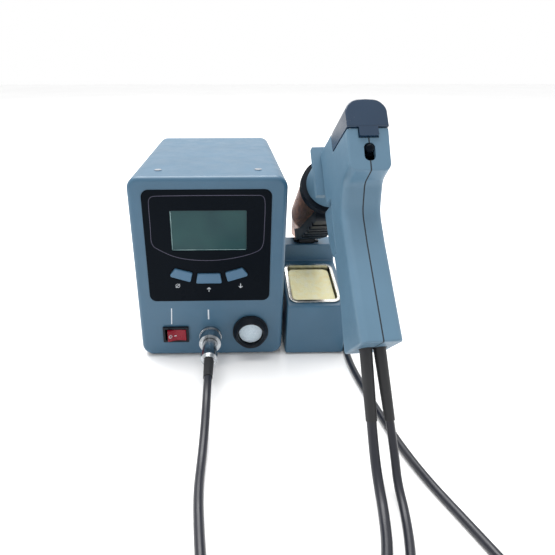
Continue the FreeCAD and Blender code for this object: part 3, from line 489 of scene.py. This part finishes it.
def ring(x, z, radius, width, count=24):
    turns = [2 * math.pi * i / count for i in range(count + 1)]
    return band([(x + radius * math.cos(turn), z + radius * math.sin(turn)) for turn in turns],
                width)


def arc(x, z, radius, first, last, count=8):
    """Points on an arc, with its angles in degrees."""
    turns = [math.radians(first + (last - first) * i / count) for i in range(count + 1)]
    return [(x + radius * math.cos(turn), z + radius * math.sin(turn)) for turn in turns]


def smoothed(points, rounds=3):
    """A closed outline with its corners cut again and again."""
    for _ in range(rounds):
        cut = []
        for (x0, z0), (x1, z1) in zip(points, points[1:] + points[:1]):
            cut += [(x0 * 0.75 + x1 * 0.25, z0 * 0.75 + z1 * 0.25),
                    (x0 * 0.25 + x1 * 0.75, z0 * 0.25 + z1 * 0.75)]
        points = cut
    return points


MILLIMETRES = Matrix.Diagonal((0.001, 0.001, 0.001, 1))


def moved(place, turn):
    """A frame at this place, turned about the upright axis."""
    return Matrix.Translation(place) @ Matrix.Rotation(turn, 4, "Z")


def facing(place):
    """A frame in millimetres whose x is to the right and z is up, on a face towards the user."""
    return Matrix.Translation(place) @ MILLIMETRES


def add_panel_marks():
    """The line around the display and the printed marks of the keys, the front and the rocker."""
    print_grey = moulded("panel_print", linear(58, 56, 78), 0.35, 0.0006, 0.00001)
    outline = [(23, 136.8), (91.6, 136.8), (98, 136.4), (98.8, 128), (98.4, 112), (98.2, 97),
               (91.5, 92.4), (75.1, 88.1), (55.7, 86.2), (33.5, 88.6), (20, 95.6), (14.6, 99.6),
               (15.2, 113), (15.1, 128), (15.6, 136)]
    line = smoothed(outline)
    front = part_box("display_panel")[0].y
    panel = facing(Vector((LEFT, front, 0)))
    plate("display_outline", band(line + line[:1], 0.45), PRINT, panel, print_grey, "station")
    marks = ring(32.5, 65.8, 1.5, 0.4) + band([(30.9, 64.2), (34.1, 67.4)], 0.4)
    marks += band([(56.4, 60.4), (56.4, 63.6)], 0.45)
    marks += band([(55, 62.6), (56.4, 64), (57.8, 62.6)], 0.45)
    marks += band([(81, 63.9), (81, 67.1)], 0.45)
    marks += band([(79.6, 64.9), (81, 63.5), (82.4, 64.9)], 0.45)
    white = moulded("white_print", linear(200, 206, 212), 0.4, 0.0006, 0.00001)
    plate("key_marks", marks, PRINT, panel, white, "station")
    face = facing(at(0, 0, 0))
    ticks = band([(25.4, 31.1), (26.2, 45.3)], 0.8) + band([(55.3, 35.3), (55.3, 43.8)], 1.1)
    plate("front_ticks", ticks, PRINT, face, white, "station")

    paddle = moved(at(0.0285, 0.0032, 0.022), math.radians(9))
    off_face = paddle @ moved((-0.0075, -0.0072, 0), math.atan2(1.9, 7.5)) @ MILLIMETRES
    plate("rocker_off_mark", ring(2.3, -0.4, 1.2, 0.5), PRINT, off_face, white, "rocker_body")
    on_face = paddle @ moved((-0.0012, -0.00575, 0), math.radians(5.7)) @ MILLIMETRES
    bar = band([(-0.9, -0.4), (0.9, -0.4)], 0.6)
    plate("rocker_on_mark", bar, PRINT, on_face, white, "rocker_body")


def add_display_edge_highlights():
    """Painted highlight: bright teal lines along the display glass's left and lower edges, where
    the edges of the glass catch the light.
    """
    painted_edge_highlight = Surface("display_edge_highlight_paint", linear(120, 156, 158), 0.3)
    # painted highlight: this light teal colour stands in for the light that the glass's edges catch
    painted_edge_highlight.colours(painted_edge_highlight.noise(0.01, 2), (0.3, linear(84, 120, 124)), (0.7, linear(150, 182, 184)))
    low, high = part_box("lcd_window")
    window = facing(Vector((low.x, low.y, low.z)))
    wide, tall = (high.x - low.x) * 1000, (high.z - low.z) * 1000
    edges = band([(0.5, 0.6), (0.5, tall - 0.6)], 0.5) + band([(0.6, 0.5), (wide - 0.6, 0.5)], 0.5)
    plate("painted_display_edge_lines", edges, 0.04, window, painted_edge_highlight, "station")


def add_seam():
    """Painted shade: a dark strip along the joint between the two halves of the gun's casing,
    standing in for the shade in the joint's groove.
    """
    # painted shade: the strip's dark colour stands in for the shade that falls in the seam's groove
    dark = moulded("joint_shadow", linear(14, 20, 28), 0.7, 0.0006, 0.00001)
    work = bmesh.new()
    work.from_mesh(nodes["gun_shell_left"].data)
    bmesh.ops.remove_doubles(work, verts=work.verts, dist=1e-6)
    bmesh.ops.transform(work, matrix=GUN.inverted(), verts=work.verts)
    work.normal_update()
    raised, overrun, half = 0.00031, 0.0002, Vector((0, 0.0004, 0))
    vertices = []
    faces = []
    for edge in work.edges:
        ends = [vertex.co.copy() for vertex in edge.verts]
        slopes = [face.normal for face in edge.link_faces if 0.4 < abs(face.normal.y) < 0.95]
        if slopes and all(abs(end.y) < 1e-5 for end in ends):
            out = Vector((slopes[0].x, 0, slopes[0].z)).normalized() * raised
            over = (ends[1] - ends[0]).normalized() * overrun
            corners = [ends[0] + out - over, ends[1] + out + over]
            first = len(vertices)
            vertices += [GUN @ (corner + half * side) for corner in corners for side in (-1, 1)]
            faces.append([first, first + 1, first + 3, first + 2])
    work.free()
    piece("casing_joint_painted_shade", vertices, faces, dark, "gun")


CROWN = 0.0004     # how much lower the edges lie than the middle
PIT_REACH = 0.45   # each pit's size, as a share of the distance between pits


def soft_block(name, outline, low, high, place, voxel, rough, pores):
    """A soft slab, rounded over its edges and crowned, roughened by noise and pits."""
    vertices = [(x, y, low) for x, y in outline] + [(x, y, high) for x, y in outline]
    count = len(outline)
    faces = [list(reversed(range(count))), [count + i for i in range(count)]]
    faces += [[i, (i + 1) % count, count + (i + 1) % count, count + i] for i in range(count)]
    data = bpy.data.meshes.new(name)
    data.from_pydata(vertices, [], faces)
    obj = bpy.data.objects.new(name, data)
    bpy.context.scene.collection.objects.link(obj)
    remesh = obj.modifiers.new("remesh", "REMESH")
    remesh.voxel_size = voxel
    soften = obj.modifiers.new("soften", "SMOOTH")
    soften.iterations = 4
    shaped = as_mesh(obj)
    obj.modifiers.clear()
    obj.data = shaped
    wide = max(x for x, _ in outline)
    deep = max(y for _, y in outline)
    for vertex in shaped.vertices:
        spot = vertex.co
        inside = max(0, 1 - (spot.x / wide) ** 2) * max(0, 1 - (spot.y / deep) ** 2)
        pit = max(0, PIT_REACH - noise.voronoi(spot / pores)[0][0]) * pores * 0.5
        grain = noise.noise(spot / pores * 2.3) * rough
        push = grain - pit - rough
        share = (spot.z - low) / (high - low)
        vertex.co = spot + vertex.normal * push + Vector((0, 0, (inside - 1) * CROWN * share))
    for face in shaped.polygons:
        face.use_smooth = True
    shaped.transform(place)
    return obj


def add_soft_parts(surfaces):
    """The sponge in its tray, which slopes with the stand's top, and the port's felt disc."""
    slope = Matrix.Rotation(math.atan2(0.012, 0.054), 4, "X")
    seat = Matrix.Translation(at(0.1417, 0.0292, 0.0527)) @ slope
    plan = [(-0.0178, -0.0222), (0.0178, -0.0222), (0.0178, 0.0222), (-0.0178, 0.0222)]
    outline = []
    for (x, y), first in zip(plan, (180, 270, 0, 90)):
        middle_x, middle_y = x - math.copysign(0.005, x), y - math.copysign(0.005, y)
        outline += arc(middle_x, middle_y, 0.005, first, first + 90)
    sponge = soft_block("cleaning_sponge", outline, -0.0108, -0.0017, seat, 0.00055, 0.00012,
                        0.0014)
    sponge.data.materials.append(surfaces["sponge"].material)
    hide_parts("sponge")
    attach(sponge, "sponge_body")

    low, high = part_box("filter_disc")
    middle = (low + high) / 2
    thick = high.y - low.y
    place = Matrix.Translation(middle) @ Matrix.Rotation(math.radians(90), 4, "X")
    edge = arc(0, 0, 0.0096, 0, 352.5, 47)
    disc = soft_block("filter_felt", edge, -thick / 2, thick / 2, place, 0.0005, 0.00012, 0.0009)
    disc.data.materials.append(surfaces["felt"].material)
    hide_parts("filter_disc")
    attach(disc, "station")


# ---------------------------------------------------------------- stage
KEY_PLACE = (-0.2, 0.5, 1.6)
KEY_TARGET = (0, 0, 0.05)
KEY_SIZE = (1.5, 1.5)
KEY_WATTS = 47


def area_light(name, place, target, size, power):
    data = bpy.data.lights.new(name, "AREA")
    data.shape = "RECTANGLE"
    data.size, data.size_y = size
    data.energy = power
    light = bpy.data.objects.new(name, data)
    light.location = place
    light.rotation_euler = (Vector(target) - Vector(place)).to_track_quat("-Z", "Y").to_euler()
    bpy.context.scene.collection.objects.link(light)


def add_stage():
    floor_surface = Surface("studio_floor", linear(250, 250, 250), 0.7)
    floor_surface.colours(floor_surface.noise(0.4, 2), (0.3, linear(248, 248, 248)),
                          (0.7, linear(251, 251, 251)))
    data = bpy.data.meshes.new("floor")
    data.from_pydata([(-4, -3, 0), (4, -3, 0), (4, 5, 0), (-4, 5, 0)], [], [[0, 1, 2, 3]])
    data.materials.append(floor_surface.material)
    floor = bpy.data.objects.new("floor", data)
    bpy.context.scene.collection.objects.link(floor)
    world = bpy.data.worlds.new("studio")
    bpy.context.scene.world = world
    world.use_nodes = True
    sky = world.node_tree.nodes["Background"]
    sky.inputs["Color"].default_value = (1, 1, 1, 1)
    sky.inputs["Strength"].default_value = 1.0
    area_light("key_light", KEY_PLACE, KEY_TARGET, KEY_SIZE, KEY_WATTS)
    bpy.context.scene.view_settings.view_transform = "Standard"


add_camera()
leads = add_leads()
slot_surfaces = build_surfaces()
dress(slot_surfaces)
for tube in leads:
    tube.data.materials.append(slot_surfaces["lead_rubber"].material)
add_panel_marks()
add_display_edge_highlights()
add_seam()
add_soft_parts(slot_surfaces)
add_stage()
